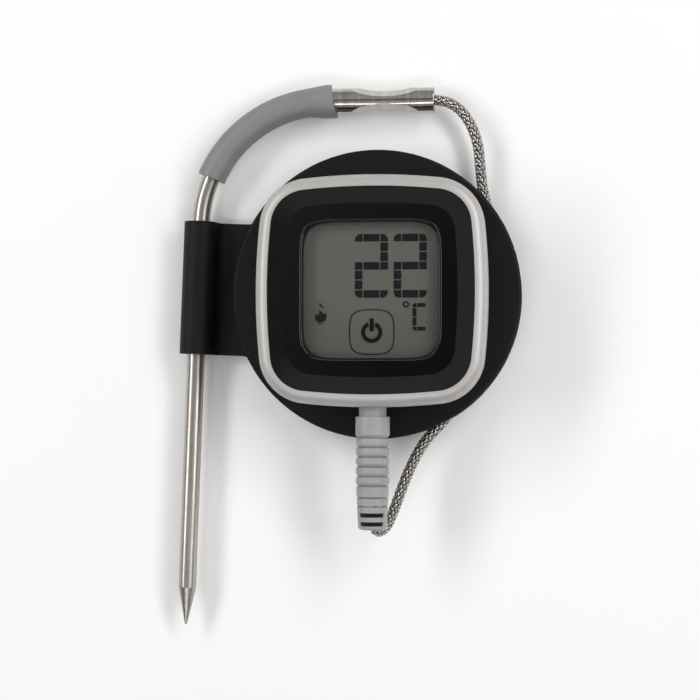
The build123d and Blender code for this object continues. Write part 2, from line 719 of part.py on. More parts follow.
SOCKET_W = 6.4
SOCKET_H = 2 * (PLUG_Z - BOARD_Z - BOARD_T)
SOCKET_LENGTH = 13.4
SOCKET_BORE_R = PIN_R + 0.03
SOCKET_WALL_Y = -22.6
CONTACT_RISE = 0.8
socket_centre_y = SOCKET_WALL_Y + SOCKET_LENGTH / 2
contact_floor = Plane.XY.offset(BOARD_Z + BOARD_T + CONTACT_RISE)
contact_places = Locations((2.2, PLUG_SEAT_Y + PIN_LENGTH - 1.6), (-2.2, PLUG_SEAT_Y + 5))
with BuildPart() as jack_socket:
    with BuildSketch(board_top):
        with Locations((0, socket_centre_y)):
            Rectangle(SOCKET_W, SOCKET_LENGTH)
    extrude(amount=SOCKET_H)
    with BuildSketch(plug_plane):
        Circle(NOSE_R - 0.1)
    extrude(amount=SOCKET_WALL_Y - PLUG_SEAT_Y, dir=(0, 1, 0))
    with BuildSketch(plug_plane):
        Circle(SOCKET_BORE_R)
    extrude(amount=PIN_LENGTH + 0.6, dir=(0, 1, 0), mode=Mode.SUBTRACT)
    with BuildSketch(contact_floor):
        with contact_places:
            Rectangle(1.4, 2.6)
    extrude(amount=SOCKET_H, mode=Mode.SUBTRACT)
write(jack_socket, "jack_socket")

with BuildPart() as jack_contacts:
    with BuildSketch(contact_floor):
        with contact_places:
            Rectangle(0.3, 2.2)
    extrude(amount=SOCKET_H - CONTACT_RISE)
write(jack_contacts, "jack_contacts")

# ---- Battery cover -----------------------------------------------------------------------

COVER_T = 1.8
SEAL_Z = BOSS_FOOT_Z + 0.5
SEAL_T = 0.7
SEAL_R = COVER_R - 0.7
SLOT_L, SLOT_W, SLOT_DEPTH = 14.0, 2.0, 1.0
cover_top_z = BOSS_FOOT_Z + COVER_T
lug_root_r = CELL_R + 0.6
with BuildPart() as battery_cover:
    with BuildSketch(Plane.XY.offset(BOSS_FOOT_Z)):
        Circle(COVER_R)
    extrude(amount=COVER_T)
    with BuildSketch(Plane.XY.offset(SEAL_Z)):
        Circle(COVER_R)
        Circle(SEAL_R, mode=Mode.SUBTRACT)
    extrude(amount=SEAL_T, mode=Mode.SUBTRACT)
    with BuildSketch(Plane.XY.offset(cover_top_z)):
        with PolarLocations((lug_root_r + LUG_R) / 2, LUGS):
            Rectangle(LUG_R - lug_root_r, LUG_W)
        Circle(LUG_R, mode=Mode.INTERSECT)
    extrude(amount=CHANNEL_Z + CHANNEL_H - 0.1 - cover_top_z)
    with BuildSketch(Plane.XY.offset(BOSS_FOOT_Z)):
        SlotOverall(SLOT_L, SLOT_W)
    extrude(amount=SLOT_DEPTH, mode=Mode.SUBTRACT)
write(battery_cover, "battery_cover")

with BuildPart() as cover_seal:
    with BuildSketch(Plane.XY.offset(SEAL_Z)):
        Circle(COVER_R)
        Circle(SEAL_R, mode=Mode.SUBTRACT)
    extrude(amount=SEAL_T)
write(cover_seal, "cover_seal")

# ---- Plug --------------------------------------------------------------------------------

PIN_TAIL = 6.0
CORE_R = 0.75
STEM_R = 0.45
TIP_LENGTH = 3.0
INSULATOR_T = 0.6
BOOT_GROOVES_Y = (-45.7, -47.6)
BOOT_SLOTS_Y = (-49.4, -51.35)
BOOT_SLOT_W = 0.95
BOOT_CORE_R = 1.7
BORE_GAP = 0.15

plug_side = Plane(origin=(0, 0, PLUG_Z), z_dir=(0, 0, 1))
plug_axis = Axis((0, 0, PLUG_Z), (0, 1, 0))


def boot_outline():
    """The boot's half profile as (radius, y): neck, collar, ribs and the tapered tail."""
    points = [
        (0, PLUG_SEAT_Y),
        (NECK_R, PLUG_SEAT_Y),
        (NECK_R, COLLAR_Y),
        (COLLAR_R - 0.12, COLLAR_Y),
        (COLLAR_R, COLLAR_Y - 0.15),
        (COLLAR_R, RIBS_Y + 0.75),
        (RIB_ROOT_R, RIBS_Y + 0.1),
        (RIB_ROOT_R, RIBS_Y),
    ]
    for rib in range(RIBS):
        top = RIBS_Y - rib * RIB_PITCH
        points += [
            (RIB_R - 0.15, top),
            (RIB_R, top - 0.25),
            (RIB_R, top - 1.3),
            (RIB_ROOT_R, top - 1.9),
            (RIB_ROOT_R, top - RIB_PITCH),
        ]
    tail_top = RIBS_Y - RIBS * RIB_PITCH
    points += [
        (RIB_R - 0.2, tail_top),
        (RIB_R - 0.08, tail_top - 0.2),
        (BOOT_END_R, BOOT_END_Y + 0.7),
        (BOOT_END_R - 0.2, BOOT_END_Y + 0.2),
        (BOOT_END_R - 0.7, BOOT_END_Y),
        (0, BOOT_END_Y),
    ]
    return points


with BuildPart() as plug_boot:
    with BuildSketch(plug_side):
        with BuildLine():
            Polyline(*boot_outline(), close=True)
        make_face()
    revolve(axis=plug_axis)
    # Two moulded rings and two strain-relief slots near the cable's exit
    for groove_y in BOOT_GROOVES_Y:
        with BuildSketch(Plane(origin=(0, groove_y, PLUG_Z), z_dir=(0, 1, 0))):
            Circle(RIB_R)
            Circle(RIB_ROOT_R - 0.05, mode=Mode.SUBTRACT)
        extrude(amount=0.3, mode=Mode.SUBTRACT)
    for slot_y in BOOT_SLOTS_Y:
        for side in (-1, 1):
            with BuildSketch(Plane(origin=(0, slot_y, PLUG_Z + side * BOOT_CORE_R), z_dir=(0, 0, side))):
                RectangleRounded(2 * RIB_R + 1, BOOT_SLOT_W, BOOT_SLOT_W / 2 - 0.02)
            extrude(amount=RIB_R, mode=Mode.SUBTRACT)
    # The cable's bore opens through the underside, where the cable folds back
    add(cable_tube(bottom_route[-5:], CABLE_D + 2 * BORE_GAP).part, mode=Mode.SUBTRACT)
    # Seat for the jack pin
    with BuildSketch(plug_plane):
        Circle(PIN_R)
    extrude(amount=PIN_TAIL, mode=Mode.SUBTRACT)
write(plug_boot, "plug_boot")

insulator_y = PLUG_SEAT_Y + PIN_LENGTH - TIP_LENGTH - INSULATOR_T
with BuildPart() as pin_sleeve:
    with BuildSketch(plug_plane):
        Circle(PIN_R)
        Circle(CORE_R, mode=Mode.SUBTRACT)
    extrude(amount=PIN_TAIL)
    extrude(pin_sleeve.faces().sort_by(Axis.Y)[-1], amount=insulator_y - PLUG_SEAT_Y)
write(pin_sleeve, "pin_sleeve")

with BuildPart() as pin_insulator:
    with BuildSketch(Plane(origin=(0, PLUG_SEAT_Y - PIN_TAIL, PLUG_Z), z_dir=(0, 1, 0))):
        Circle(CORE_R)
        Circle(STEM_R, mode=Mode.SUBTRACT)
    extrude(amount=insulator_y - PLUG_SEAT_Y + PIN_TAIL)
    with BuildSketch(Plane(origin=(0, insulator_y, PLUG_Z), z_dir=(0, 1, 0))):
        Circle(PIN_R)
        Circle(STEM_R, mode=Mode.SUBTRACT)
    extrude(amount=INSULATOR_T)
write(pin_insulator, "pin_insulator")

pin_end_y = PLUG_SEAT_Y + PIN_LENGTH
tip_base_y = insulator_y + INSULATOR_T
with BuildPart() as pin_tip:
    with BuildSketch(plug_side):
        with BuildLine():
            Polyline(
                (0, PLUG_SEAT_Y - PIN_TAIL),
                (STEM_R, PLUG_SEAT_Y - PIN_TAIL),
                (STEM_R, tip_base_y),
                (PIN_R, tip_base_y),
                (0.85, tip_base_y + 0.8),
                (PIN_R, tip_base_y + 1.5),
                (PIN_R, tip_base_y + 1.8),
                (0.4, pin_end_y),
                (0, pin_end_y),
                close=True,
            )
        make_face()
    revolve(axis=plug_axis)
write(pin_tip, "pin_tip")
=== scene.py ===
import math

import bpy
import numpy as np
from mathutils import Matrix, Vector


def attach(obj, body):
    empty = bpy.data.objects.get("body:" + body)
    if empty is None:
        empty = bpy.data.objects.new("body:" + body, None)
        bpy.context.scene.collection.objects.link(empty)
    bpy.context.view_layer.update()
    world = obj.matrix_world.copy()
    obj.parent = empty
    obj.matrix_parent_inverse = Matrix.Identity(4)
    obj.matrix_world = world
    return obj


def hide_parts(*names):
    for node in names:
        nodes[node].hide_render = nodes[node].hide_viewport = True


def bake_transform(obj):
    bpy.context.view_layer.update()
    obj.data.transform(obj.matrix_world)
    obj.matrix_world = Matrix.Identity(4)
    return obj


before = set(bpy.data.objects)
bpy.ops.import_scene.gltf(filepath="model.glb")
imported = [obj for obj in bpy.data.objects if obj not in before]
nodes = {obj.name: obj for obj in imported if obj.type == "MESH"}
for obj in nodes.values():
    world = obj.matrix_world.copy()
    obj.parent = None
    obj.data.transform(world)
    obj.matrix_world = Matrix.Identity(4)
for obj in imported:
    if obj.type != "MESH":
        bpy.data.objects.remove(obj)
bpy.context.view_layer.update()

# A leave-in meat thermometer around its CAD frame: braided cable, display marks, materials,
# pale floor and soft light. Lengths are millimetres.
MM = 0.001

# The braid: bundles each way, how far along the cable one turn takes, and wires per bundle
CARRIERS = 7
LAY = 12.8
WIRES_ABREAST = 4

# Painted shade on the plug's boot: it starts with the ribs, stops short of the end, and gathers
# below a radius that shrinks along the tail, a little inside the boot's own taper.
BOOT_AXIS_Z = 17.0
SHADE_START_Y = (-32.0, -32.3)
SHADE_END_Y = (-52.2, -52.0)
TAIL_Y = (-43.2, -52.0)
SHADE_R = (3.41, 3.02)


# ---- Materials ----------------------------------------------------------------------------


def srgb(*channels):
    """A linear colour from 0-255 sRGB numbers."""
    linear = []
    for channel in channels:
        c = channel / 255
        linear.append(c / 12.92 if c <= 0.04045 else ((c + 0.055) / 1.055) ** 2.4)
    return (*linear, 1.0)


def add_node(tree, kind, inputs=(), **settings):
    """A new node with its settings, and its inputs set or linked by name or index."""
    node = tree.nodes.new(kind)
    for key, value in settings.items():
        setattr(node, key, value)
    for key, value in dict(inputs).items():
        if isinstance(value, bpy.types.NodeSocket):
            tree.links.new(value, node.inputs[key])
        else:
            node.inputs[key].default_value = value
    return node


def blank(name, **constants):
    """A Principled material with plain values on the shader's own sockets."""
    material = bpy.data.materials.new(name)
    material.use_nodes = True
    tree = material.node_tree
    shader = tree.nodes["Principled BSDF"]
    for key, value in constants.items():
        shader.inputs[key.replace("_", " ")].default_value = value
    return material, tree, shader


def remap(tree, value, first=0.0, last=1.0, low=0.0, high=1.0):
    """A value moved from one range to another, and held at the ends."""
    return add_node(
        tree,
        "ShaderNodeMapRange",
        {"Value": value, "From Min": first, "From Max": last, "To Min": low, "To Max": high},
    ).outputs["Result"]


def combine(tree, operation, *values):
    """The result of a math node."""
    return add_node(
        tree, "ShaderNodeMath", dict(enumerate(values)), operation=operation
    ).outputs["Value"]


def relief(tree, shader, height, distance_um, strength=1.0):
    """A bump on the shader, its full height in micrometres."""
    bump = add_node(
        tree,
        "ShaderNodeBump",
        {"Height": height, "Strength": strength, "Distance": distance_um * 1e-6},
    )
    tree.links.new(bump.outputs["Normal"], shader.inputs["Normal"])


def uv_parts(tree):
    """The two numbers of a point's UV."""
    uv = add_node(tree, "ShaderNodeTexCoord").outputs["UV"]
    parts = add_node(tree, "ShaderNodeSeparateXYZ", {0: uv}).outputs
    return parts["X"], parts["Y"]


def ramp(tree, factor, stops):
    """A colour ramp of (position, colour) stops."""
    node = add_node(tree, "ShaderNodeValToRGB", {"Fac": factor})
    elements = node.color_ramp.elements
    while len(elements) < len(stops):
        elements.new(0.5)
    for element, (position, colour) in zip(elements, stops):
        element.position = position
        element.color = colour
    return node.outputs["Color"]


def noise(tree, per_mm, detail=3.0, stretch=(1, 1, 1), turn=0.0):
    """Noise on object coordinates, its scale in features per millimetre."""
    place = add_node(tree, "ShaderNodeTexCoord").outputs["Object"]
    mapping = add_node(
        tree,
        "ShaderNodeMapping",
        {
            "Vector": place,
            "Rotation": (0, 0, math.radians(turn)),
            "Scale": tuple(per_mm / MM * s for s in stretch),
        },
    )
    return add_node(
        tree,
        "ShaderNodeTexNoise",
        {"Vector": mapping.outputs["Vector"], "Scale": 1.0, "Detail": detail, "Roughness": 0.55},
    ).outputs["Fac"]


def surface(
    name,
    colours,
    roughness,
    tint_scale=0.25,
    grain_scale=3.0,
    bump_um=4.0,
    stretch=(1, 1, 1),
    turn=0.0,
    **constants,
):
    """Mottled colour, uneven roughness and a fine grain in relief, all from noise."""
    material, tree, shader = blank(name, **constants)
    tint = noise(tree, tint_scale, 4.0, stretch, turn)
    grain = noise(tree, grain_scale, 3.0, stretch, turn)
    colour = ramp(tree, tint, [(0.3, colours[0]), (0.7, colours[1])])
    tree.links.new(colour, shader.inputs["Base Color"])
    rough = remap(tree, grain, low=roughness[0], high=roughness[1])
    tree.links.new(rough, shader.inputs["Roughness"])
    relief(tree, shader, grain, bump_um)
    return material


def clear_sheet(name, tint):
    """A clear pane: see-through straight on, mirror-like at a glance."""
    material = bpy.data.materials.new(name)
    material.use_nodes = True
    tree = material.node_tree
    tree.nodes.remove(tree.nodes["Principled BSDF"])
    through = add_node(tree, "ShaderNodeBsdfTransparent", {"Color": tint})
    rough = remap(tree, noise(tree, 0.4), low=0.03, high=0.07)
    gloss = add_node(tree, "ShaderNodeBsdfGlossy", {"Roughness": rough})
    # Only the outer faces mirror: the far side of a face would reflect all light past 50 degrees.
    behind = add_node(tree, "ShaderNodeNewGeometry").outputs["Backfacing"]
    fresnel = add_node(tree, "ShaderNodeFresnel", {"IOR": 1.3}).outputs["Fac"]
    share = combine(tree, "MULTIPLY", fresnel, combine(tree, "SUBTRACT", 1.0, behind))
    mix = add_node(
        tree,
        "ShaderNodeMixShader",
        {0: share, 1: through.outputs["BSDF"], 2: gloss.outputs["BSDF"]},
    )
    tree.links.new(mix.outputs["Shader"], tree.nodes["Material Output"].inputs["Surface"])
    return material


def brushed_steel(name, stretch, turn, colours, roughness=(0.26, 0.38)):
    """Polished steel with long fine grinding marks and faint heat and finger stains."""
    return surface(
        name,
        colours,
        roughness,
        tint_scale=0.9,
        grain_scale=6.0,
        bump_um=1.2,
        stretch=stretch,
        turn=turn,
        Metallic=1.0,
    )


def display_face():
    """The grey of the reflective display, with painted shade that darkens it away from its upper
    middle.
    """
    material, tree, shader = blank("lcd_grey", Roughness=0.5, Specular_IOR_Level=0.2)
    place = add_node(tree, "ShaderNodeTexCoord").outputs["Object"]
    away = add_node(
        tree,
        "ShaderNodeVectorMath",
        {0: place, 1: (0.0, 7.0 * MM, 21.5 * MM)},
        operation="DISTANCE",
    ).outputs["Value"]
    # Painted shade: the further from the upper middle, the darker the grey.
    far = remap(tree, away, last=24 * MM)
    shade = combine(tree, "MULTIPLY_ADD", noise(tree, 0.12, 2.0), 0.14, far)
    colour = ramp(
        tree,
        shade,
        [(0.05, srgb(108, 107, 102)), (0.6, srgb(106, 105, 99)), (1.0, srgb(95, 94, 88))],
    )
    tree.links.new(colour, shader.inputs["Base Color"])
    return material


def boot_rubber():
    """Grey rubber with painted shade in its grooves and inside its two relief slots."""
    material = surface(
        "plug_grey",
        (srgb(154, 153, 153), srgb(163, 162, 162)),
        (0.38, 0.5),
        tint_scale=0.35,
        grain_scale=4.0,
        bump_um=4.0,
    )
    tree = material.node_tree
    shader = tree.nodes["Principled BSDF"]
    unshaded = shader.inputs["Base Color"].links[0].from_socket
    place = add_node(tree, "ShaderNodeTexCoord").outputs["Object"]
    along = add_node(tree, "ShaderNodeSeparateXYZ", {0: place}).outputs["Y"]
    from_axis = add_node(
        tree,
        "ShaderNodeVectorMath",
        {0: place, 1: (1, 0, 1), 2: (0, 0, -BOOT_AXIS_Z * MM)},
        operation="MULTIPLY_ADD",
    ).outputs["Vector"]
    radius = add_node(
        tree, "ShaderNodeVectorMath", {0: from_axis}, operation="LENGTH"
    ).outputs["Value"]

    # How far a point lies below the radius where the painted shade begins
    shade_radius = remap(tree, along, *(v * MM for v in TAIL_Y + SHADE_R))
    depth = combine(tree, "SUBTRACT", shade_radius, radius)
    painted_shade = remap(tree, depth, last=0.14 * MM, high=0.62)
    uneven = remap(tree, noise(tree, 0.7, 2.0), 0.3, 0.7, -0.14 * MM, 0.14 * MM)
    wavy = combine(tree, "ADD", along, uneven)
    # Bands of painted shade, each with its place, half width, darkness and the depth where it
    # starts:
    # straight ones in the two relief slots, and uneven ones in the two moulded rings
    for middle, line, half, dark, least in (
        (-49.4, along, 0.5, 0.985, 0.04),
        (-51.35, along, 0.5, 0.985, 0.04),
        (-45.7, wavy, 0.17, 0.8, -0.2),
        (-47.6, wavy, 0.2, 0.85, -0.2),
    ):
        away = combine(tree, "ABSOLUTE", combine(tree, "SUBTRACT", line, middle * MM))
        near = remap(tree, away, half * MM, (half - 0.08) * MM, 0.0, dark)
        sunk = remap(tree, depth, least * MM, (least + 0.1) * MM)
        painted_shade = combine(tree, "MAXIMUM", painted_shade, combine(tree, "MULTIPLY", near, sunk))
    # The painted shade reaches only along the ribbed stretch of the boot.
    shaded_stretch = combine(
        tree,
        "MULTIPLY",
        remap(tree, along, *(y * MM for y in SHADE_START_Y)),
        remap(tree, along, *(y * MM for y in SHADE_END_Y)),
    )
    left = combine(tree, "SUBTRACT", 1.0, combine(tree, "MULTIPLY", painted_shade, shaded_stretch))
    shaded = add_node(tree, "ShaderNodeVectorMath", {0: unshaded, "Scale": left}, operation="SCALE")
    tree.links.new(shaded.outputs["Vector"], shader.inputs["Base Color"])
    return material


def braid_wires():
    """Fine parallel wires across each flat bundle. A strand's UV is (across it, its rise)."""
    material, tree, shader = blank("braid_wires", Metallic=1.0, Roughness=0.24)
    across, rise = uv_parts(tree)
    phase = combine(tree, "MULTIPLY", across, WIRES_ABREAST * 2 * math.pi)
    high = remap(tree, combine(tree, "SINE", phase), first=-1.0)
    # Painted shade darkens a bundle where it dives under the next one, nearer the cable's
    # centreline.
    low = remap(tree, rise, 0.25, 0.8)
    shade_and_tone = combine(tree, "MULTIPLY_ADD", noise(tree, 0.9, 2.0), 0.5, low)
    colour = ramp(tree, shade_and_tone, [(0.3, srgb(40, 37, 34)), (1.0, srgb(178, 173, 167))])
    tree.links.new(colour, shader.inputs["Base Color"])
    relief(tree, shader, high, 20, strength=0.5)
    return material


def braid_relief():
    """The wound cable's woven surface: crossing helices in relief on a plain tube, with painted
    shade in the hollows and painted highlights on the crests.
    """
    material, tree, shader = blank("braid_relief", Metallic=1.0, Roughness=0.3)
    around, along = uv_parts(tree)
    waves = []
    for hand in (1.0, -1.0):
        turned = combine(tree, "MULTIPLY", around, CARRIERS * hand)
        bundles = combine(tree, "MULTIPLY_ADD", along, CARRIERS / LAY, turned)
        angle = combine(tree, "MULTIPLY", bundles, 2 * math.pi)
        waves.append(combine(tree, "COSINE", angle))
    high = remap(tree, combine(tree, "MULTIPLY", *waves), first=-1.0)
    # Painted shade in the weave's hollows and painted highlights on its crests, from the same
    # height.
    colour = ramp(
        tree,
        high,
        [(0.25, srgb(70, 68, 65)), (0.5, srgb(160, 157, 152)), (0.8, srgb(225, 223, 219))],
    )
    tree.links.new(colour, shader.inputs["Base Color"])
    relief(tree, shader, high, 90)
    return material


# Scales that draw the grinding marks out: small along the marks, 1 across them
ALONG_Y = (1, 0.03, 1)
AROUND_X = (1, 0.08, 0.08)
black_rubber = surface(
    "black_silicone",
    (srgb(6, 6, 6), srgb(9, 9, 9)),
    (0.5, 0.66),
    tint_scale=0.2,
    grain_scale=5.0,
    bump_um=7.0,
    Specular_IOR_Level=0.24,
)
satin_silver = surface(
    "satin_silver",
    (srgb(184, 181, 178), srgb(191, 188, 185)),
    (0.4, 0.5),
    tint_scale=0.15,
    grain_scale=9.0,
    bump_um=1.6,
    Metallic=0.35,
)
gloss_black = surface(
    "black_gloss",
    (srgb(2, 2, 2), srgb(4, 4, 4)),
    (0.06, 0.12),
    tint_scale=0.3,
    grain_scale=1.5,
    bump_um=0.25,
)
probe_steel = brushed_steel(
    "probe_steel", ALONG_Y, -1.9, (srgb(160, 154, 147), srgb(192, 187, 181))
)
ferrule_steel = brushed_steel(
    "ferrule_steel", AROUND_X, 0.0, (srgb(168, 163, 157), srgb(198, 194, 188)), (0.14, 0.24)
)
grip_grey = surface(
    "grip_grey",
    (srgb(126, 126, 126), srgb(134, 133, 133)),
    (0.42, 0.56),
    tint_scale=0.3,
    grain_scale=4.0,
    bump_um=5.0,
)
plug_grey = boot_rubber()
clear_window = clear_sheet("clear_window", (0.97, 0.97, 0.97, 1.0))
clear_film = clear_sheet("clear_film", (0.98, 0.98, 0.98, 1.0))
lcd_grey = display_face()
lcd_ink = surface(
    "lcd_ink",
    (srgb(13, 15, 18), srgb(19, 21, 24)),
    (0.4, 0.5),
    tint_scale=0.5,
    grain_scale=3.0,
    bump_um=0.5,
    Specular_IOR_Level=0.2,
)
key_ink = surface(
    "key_ink",
    (srgb(6, 4, 3), srgb(10, 7, 5)),
    (0.4, 0.5),
    tint_scale=0.5,
    grain_scale=3.0,
    bump_um=0.5,
    Specular_IOR_Level=0.2,
)
mask_black = surface(
    "mask_black",
    (srgb(12, 12, 12), srgb(15, 15, 15)),
    (0.45, 0.55),
    tint_scale=0.5,
    grain_scale=3.0,
    bump_um=0.5,
)
cable_core = surface(
    "cable_core",
    (srgb(20, 19, 18), srgb(38, 36, 34)),
    (0.5, 0.7),
    tint_scale=1.5,
    grain_scale=5.0,
    bump_um=4.0,
)
white_plastic = surface(
    "white_plastic",
    (srgb(214, 214, 210), srgb(226, 226, 222)),
    (0.4, 0.5),
    tint_scale=0.3,
    grain_scale=3.0,
    bump_um=2.0,
)
black_plastic = surface(
    "black_plastic",
    (srgb(24, 24, 25), srgb(31, 31, 32)),
    (0.38, 0.52),
    tint_scale=0.3,
    grain_scale=4.0,
    bump_um=5.0,
)
seal_rubber = surface(
    "seal_rubber",
    (srgb(58, 30, 26), srgb(72, 38, 32)),
    (0.5, 0.65),
    tint_scale=0.4,
    grain_scale=4.0,
    bump_um=3.0,
)
bright_steel = surface(
    "bright_steel",
    (srgb(196, 194, 190), srgb(212, 210, 206)),
    (0.2, 0.32),
    tint_scale=0.6,
    grain_scale=8.0,
    bump_um=1.0,
    stretch=(1, 0.06, 1),
    Metallic=1.0,
)
nickel = surface(
    "nickel",
    (srgb(196, 188, 172), srgb(212, 205, 190)),
    (0.16, 0.26),
    tint_scale=0.6,
    grain_scale=6.0,
    bump_um=0.8,
    Metallic=1.0,
)
board_green = surface(
    "board_green",
    (srgb(20, 72, 40), srgb(28, 90, 50)),
    (0.3, 0.45),
    tint_scale=0.5,
    grain_scale=2.0,
    bump_um=6.0,
)
component_brown = surface(
    "component_brown",
    (srgb(120, 92, 62), srgb(142, 110, 76)),
    (0.4, 0.55),
    tint_scale=0.8,
    grain_scale=4.0,
    bump_um=3.0,
)
bead_epoxy = surface(
    "bead_epoxy",
    (srgb(40, 26, 20), srgb(58, 38, 28)),
    (0.2, 0.35),
    tint_scale=0.8,
    grain_scale=4.0,
    bump_um=3.0,
)
wire_enamel = surface(
    "wire_enamel",
    (srgb(148, 66, 30), srgb(176, 84, 40)),
    (0.25, 0.35),
    tint_scale=1.0,
    grain_scale=4.0,
    bump_um=1.0,
)
insulator_black = surface(
    "insulator_black",
    (srgb(16, 16, 16), srgb(22, 22, 22)),
    (0.35, 0.45),
    tint_scale=0.5,
    grain_scale=4.0,
    bump_um=1.0,
)
braid_bundles = braid_wires()
braid_tube = braid_relief()

# Every CAD node's material, by node name
FINISHES = {
    black_rubber: ["cable_wrap"],
    satin_silver: ["bezel_ring"],
    gloss_black: ["front_panel"],
    probe_steel: ["probe_tube"],
    ferrule_steel: ["crimp_ferrule"],
    grip_grey: ["grip_sleeve"],
    plug_grey: ["plug_boot"],
    clear_window: ["display_window"],
    clear_film: ["touch_film"],
    lcd_grey: ["lcd_glass"],
    white_plastic: ["lcd_reflector", "display_carrier"],
    black_plastic: ["rear_housing", "battery_cover", "control_chip", "buzzer", "cell_holder",
                    "jack_socket"],
    seal_rubber: ["housing_gasket", "cover_seal", "display_connector"],
    bright_steel: ["housing_screws", "coin_cell"],
    nickel: ["cell_contact_top", "cell_contact_side", "magnets", "jack_contacts", "pin_sleeve",
             "pin_tip"],
    board_green: ["circuit_board"],
    component_brown: ["board_components"],
    bead_epoxy: ["thermistor_bead"],
    wire_enamel: ["probe_wires"],
    insulator_black: ["pin_insulator"],
    braid_tube: ["cable_probe_end", "cable_winding", "cable_top", "cable_bottom"],
}
for material, names in FINISHES.items():
    for name in names:
        node_materials = nodes[name].data.materials
        node_materials.clear()
        node_materials.append(material)


# ---- Mesh helpers -------------------------------------------------------------------------


def add_mesh(name, points, faces, materials, face_materials=None, uvs=None, smooth=True):
    """A mesh object from points in millimetres, with an optional UV per point."""
    mesh = bpy.data.meshes.new(name)
    mesh.from_pydata([tuple(MM * c for c in p) for p in points], [], faces)
    for material in materials:
        mesh.materials.append(material)
    if face_materials is not None:
        mesh.polygons.foreach_set("material_index", face_materials)
    mesh.polygons.foreach_set("use_smooth", [smooth] * len(mesh.polygons))
    if uvs is not None:
        layer = mesh.uv_layers.new(name="UVMap").data
        for loop in mesh.loops:
            layer[loop.index].uv = uvs[loop.vertex_index]
    mesh.update()
    obj = bpy.data.objects.new(name, mesh)
    bpy.context.scene.collection.objects.link(obj)
    return obj


def grid_faces(rows, columns, start=0, wrap_rows=False):
    """Quads over rows x columns points, each row closed on itself, from point `start`."""
    faces = []
    for i in range(rows if wrap_rows else rows - 1):
        j = (i + 1) % rows
        for k in range(columns):
            m = (k + 1) % columns
            faces.append(
                (
                    start + i * columns + k,
                    start + i * columns + m,
                    start + j * columns + m,
                    start + j * columns + k,
                )
            )
    return faces


SPLINE_ORDER = 3
SPLINE_POINTS = 24


def route_line(name, route, step):
    """Points about a step apart on a route's NURBS spline, and how far along it each is."""
    curve = bpy.data.curves.new(name, "CURVE")
    curve.dimensions = "3D"
    curve.resolution_u = SPLINE_POINTS
    spline = curve.splines.new("NURBS")
    spline.points.add(len(route) - 1)
    for point, place in zip(spline.points, route):
        point.co = (*place, 1.0)
    spline.order_u = SPLINE_ORDER
    spline.use_endpoint_u = True
    holder = bpy.data.objects.new(name, curve)
    mesh = bpy.data.meshes.new_from_object(holder)
    line = np.array([v.co[:] for v in mesh.vertices])
    bpy.data.objects.remove(holder)
    bpy.data.meshes.remove(mesh)
    bpy.data.curves.remove(curve)
    travelled = np.concatenate([[0], np.cumsum(np.linalg.norm(np.diff(line, axis=0), axis=1))])
    steps = np.linspace(0, travelled[-1], max(2, round(travelled[-1] / step) + 1))
    return steps, np.stack([np.interp(steps, travelled, line[:, i]) for i in range(3)], 1)


def frames_along(line):
    """Each point's tangent and two normals, carried along the line without twist."""
    tangents = np.gradient(line, axis=0)
    tangents /= np.linalg.norm(tangents, axis=1)[:, None]
    first = np.array([0.0, 0.0, 1.0])
    normals = []
    for tangent in tangents:
        first = first - tangent * (first @ tangent)
        first /= np.linalg.norm(first)
        normals.append(first)
    normals = np.array(normals)
    return tangents, normals, np.cross(tangents, normals)


def tube_points(line, radius, around):
    """Rings of points round a line."""
    _, normals, sides = frames_along(line)
    turn = np.linspace(0, 2 * math.pi, around, endpoint=False)
    rings = (
        line[:, None]
        + radius * np.cos(turn)[None, :, None] * normals[:, None]
        + radius * np.sin(turn)[None, :, None] * sides[:, None]
    )
    return rings.reshape(-1, 3)


def capped_faces(rows, columns, start=0):
    """The faces of a closed tube, from point `start`: its side and its two end caps."""
    faces = grid_faces(rows, columns, start)
    last = start + (rows - 1) * columns
    faces.append(tuple(start + k for k in reversed(range(columns))))
    faces.append(tuple(last + k for k in range(columns)))
    return faces


# ---- Cable --------------------------------------------------------------------------------

CABLE_D = 2.5
CORE_R = 0.72
CORE_SIDES = 12
# The core needs only every third point of the bundles' line.
CORE_EVERY = 3
# A bundle's mean distance from the centreline, how far it weaves in and out, and its section
BUNDLE_R = 0.98
BUNDLE_RISE = 0.16
BUNDLE_W = 0.64
BUNDLE_T = 0.3
BUNDLE_SIDES = 8
BUNDLE_STEP = 0.16
CROSSING = LAY / CARRIERS / 2


def bundle_points(steps, line, hand, number):
    """One flat wire bundle of the braid: it climbs over every other bundle that it crosses."""
    tangents, normals, sides = frames_along(line)
    lean = math.atan(2 * math.pi * BUNDLE_R / LAY)
    turn = hand * 2 * math.pi * steps / LAY + 2 * math.pi * number / CARRIERS
    wave = hand * np.cos(math.pi * steps / CROSSING)
    height = BUNDLE_R + BUNDLE_RISE * wave
    rise = 0.5 + 0.5 * wave
    rows, uvs = [], []
    for k in range(BUNDLE_SIDES):
        angle = 2 * math.pi * k / BUNDLE_SIDES
        across = math.cos(angle) * BUNDLE_W / 2
        out = math.sin(angle) * BUNDLE_T / 2
        theta = turn + hand * math.cos(lean) * across / BUNDLE_R
        radius = height + out
        place = (
            line
            - tangents * (math.sin(lean) * across)
            + normals * (radius * np.cos(theta))[:, None]
            + sides * (radius * np.sin(theta))[:, None]
        )
        rows.append(place)
        uvs.append(np.stack([np.full(len(steps), 0.5 + 0.5 * math.cos(angle)), rise], 1))
    return np.stack(rows, 1).reshape(-1, 3), np.stack(uvs, 1).reshape(-1, 2)


